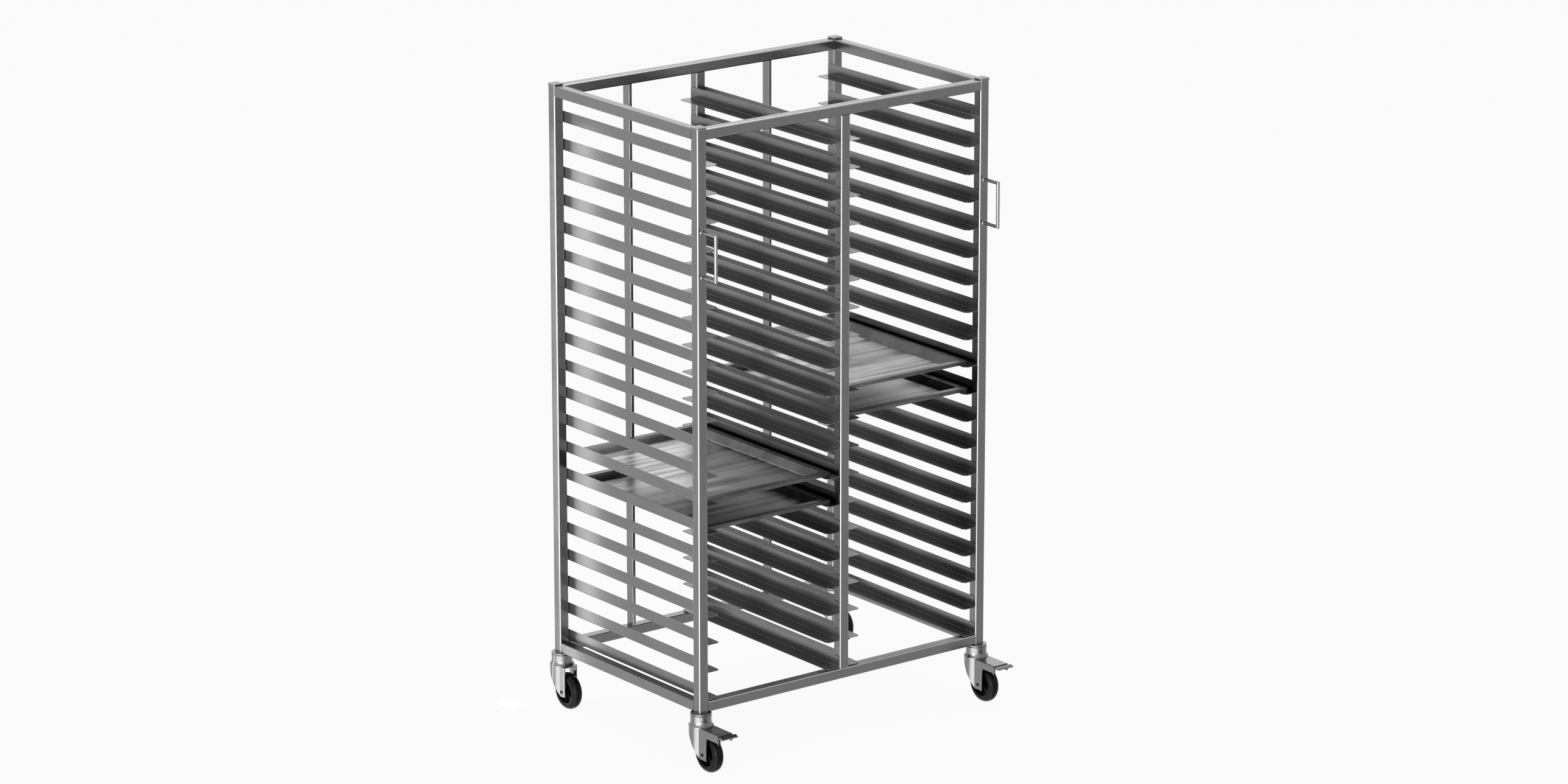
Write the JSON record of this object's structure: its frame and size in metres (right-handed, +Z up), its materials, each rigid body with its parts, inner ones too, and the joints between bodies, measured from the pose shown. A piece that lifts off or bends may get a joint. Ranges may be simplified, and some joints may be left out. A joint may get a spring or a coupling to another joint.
{
  "type": "double tray trolley",
  "caption": "Two-bay square-tube tray trolley on swivel casters, with folded runner ledges, sliding trays, pull handles and foot brakes.",
  "frame": {"origin": "on the floor, at the centre of the trolley's bounding box seen from above", "axes": "+Z up, -Y towards the front where the trays slide out and the handles are, +X to the right seen from the front"},
  "size_m": [1.0396, 0.8183, 1.8],
  "materials": {
    "frame_steel": "satin brushed along each tube",
    "runner_steel": "satin rolled sheet",
    "tray_metal": "brushed, streaky from use",
    "handle_steel": "bright polished bar",
    "caster_zinc": "bright plated pressed steel",
    "bolt_dark": "blackened",
    "tyre_black": "smooth, slightly glossy",
    "hub_black": "satin"
  },
  "bodies": {
    "frame": {"back_stop_left": "frame_steel", "back_stop_right": "frame_steel", "cap_back_left": "frame_steel", "cap_back_right": "frame_steel", "cap_front_left": "frame_steel", "cap_front_right": "frame_steel", "caster_stem_back_left": "caster_zinc", "caster_stem_back_right": "caster_zinc", "caster_stem_front_left": "caster_zinc", "caster_stem_front_right": "caster_zinc", "handle_left": "handle_steel", "handle_right": "handle_steel", "post_back_centre": "frame_steel", "post_back_left": "frame_steel", "post_back_right": "frame_steel", "post_front_centre": "frame_steel", "post_front_left": "frame_steel", "post_front_right": "frame_steel", "rail_bottom_back": "frame_steel", "rail_bottom_front": "frame_steel", "rail_bottom_left": "frame_steel", "rail_bottom_right": "frame_steel", "rail_top_back": "frame_steel", "rail_top_front": "frame_steel", "rail_top_left": "frame_steel", "rail_top_right": "frame_steel", "runners_left_inner": "runner_steel", "runners_left_outer": "runner_steel", "runners_right_inner": "runner_steel", "runners_right_outer": "runner_steel"},
    "fork_front_left": {"axle_front_left": "bolt_dark", "brake_pin_front_left": "caster_zinc", "caster_fork_front_left": "caster_zinc", "caster_head_front_left": "caster_zinc"},
    "wheel_front_left": {"wheel_hub_front_left": "hub_black", "tyre_front_left": "tyre_black"},
    "brake_front_left": {"brake_pedal_front_left": "caster_zinc"},
    "fork_front_right": {"axle_front_right": "bolt_dark", "brake_pin_front_right": "caster_zinc", "caster_fork_front_right": "caster_zinc", "caster_head_front_right": "caster_zinc"},
    "wheel_front_right": {"wheel_hub_front_right": "hub_black", "tyre_front_right": "tyre_black"},
    "brake_front_right": {"brake_pedal_front_right": "caster_zinc"},
    "fork_back_left": {"axle_back_left": "bolt_dark", "caster_fork_back_left": "caster_zinc", "caster_head_back_left": "caster_zinc"},
    "wheel_back_left": {"wheel_hub_back_left": "hub_black", "tyre_back_left": "tyre_black"},
    "fork_back_right": {"axle_back_right": "bolt_dark", "caster_fork_back_right": "caster_zinc", "caster_head_back_right": "caster_zinc"},
    "wheel_back_right": {"wheel_hub_back_right": "hub_black", "tyre_back_right": "tyre_black"},
    "tray_left_lower": {"tray_left_lower": "tray_metal"},
    "tray_left_upper": {"tray_left_upper": "tray_metal"},
    "tray_right_lower": {"tray_right_lower": "tray_metal"},
    "tray_right_upper": {"tray_right_upper": "tray_metal"}
  },
  "joints": [
    {"name": "swivel_front_left", "type": "hinge", "parent": "frame", "child": "fork_front_left", "pos_m": [-0.485, -0.28065, 0.1265], "axis": [0, 0, 1], "continuous": true},
    {"name": "wheel_spin_front_left", "type": "hinge", "parent": "fork_front_left", "child": "wheel_front_left", "pos_m": [-0.485, -0.31865, 0.053], "axis": [1, 0, 0], "continuous": true},
    {"name": "brake_press_front_left", "type": "hinge", "parent": "fork_front_left", "child": "brake_front_left", "pos_m": [-0.485, -0.36465, 0.1155], "axis": [1, 0, 0], "range_deg": [0, 18]},
    {"name": "swivel_front_right", "type": "hinge", "parent": "frame", "child": "fork_front_right", "pos_m": [0.485, -0.28065, 0.1265], "axis": [0, 0, 1], "continuous": true},
    {"name": "wheel_spin_front_right", "type": "hinge", "parent": "fork_front_right", "child": "wheel_front_right", "pos_m": [0.485, -0.31865, 0.053], "axis": [1, 0, 0], "continuous": true},
    {"name": "brake_press_front_right", "type": "hinge", "parent": "fork_front_right", "child": "brake_front_right", "pos_m": [0.485, -0.36465, 0.1155], "axis": [1, 0, 0], "range_deg": [0, 18]},
    {"name": "swivel_back_left", "type": "hinge", "parent": "frame", "child": "fork_back_left", "pos_m": [-0.485, 0.37435, 0.1265], "axis": [0, 0, 1], "continuous": true},
    {"name": "wheel_spin_back_left", "type": "hinge", "parent": "fork_back_left", "child": "wheel_back_left", "pos_m": [-0.485, 0.34335, 0.053], "axis": [1, 0, 0], "continuous": true},
    {"name": "swivel_back_right", "type": "hinge", "parent": "frame", "child": "fork_back_right", "pos_m": [0.485, 0.37435, 0.1265], "axis": [0, 0, 1], "continuous": true},
    {"name": "wheel_spin_back_right", "type": "hinge", "parent": "fork_back_right", "child": "wheel_back_right", "pos_m": [0.485, 0.34335, 0.053], "axis": [1, 0, 0], "continuous": true},
    {"name": "tray_left_lower_slide", "type": "slide", "parent": "frame", "child": "tray_left_lower", "axis": [0, -1, 0], "range_m": [-0.0155, 0.5]},
    {"name": "tray_left_upper_slide", "type": "slide", "parent": "frame", "child": "tray_left_upper", "axis": [0, -1, 0], "range_m": [-0.0155, 0.5]},
    {"name": "tray_right_lower_slide", "type": "slide", "parent": "frame", "child": "tray_right_lower", "axis": [0, -1, 0], "range_m": [-0.0155, 0.5]},
    {"name": "tray_right_upper_slide", "type": "slide", "parent": "frame", "child": "tray_right_upper", "axis": [0, -1, 0], "range_m": [-0.0155, 0.5]}
  ]
}
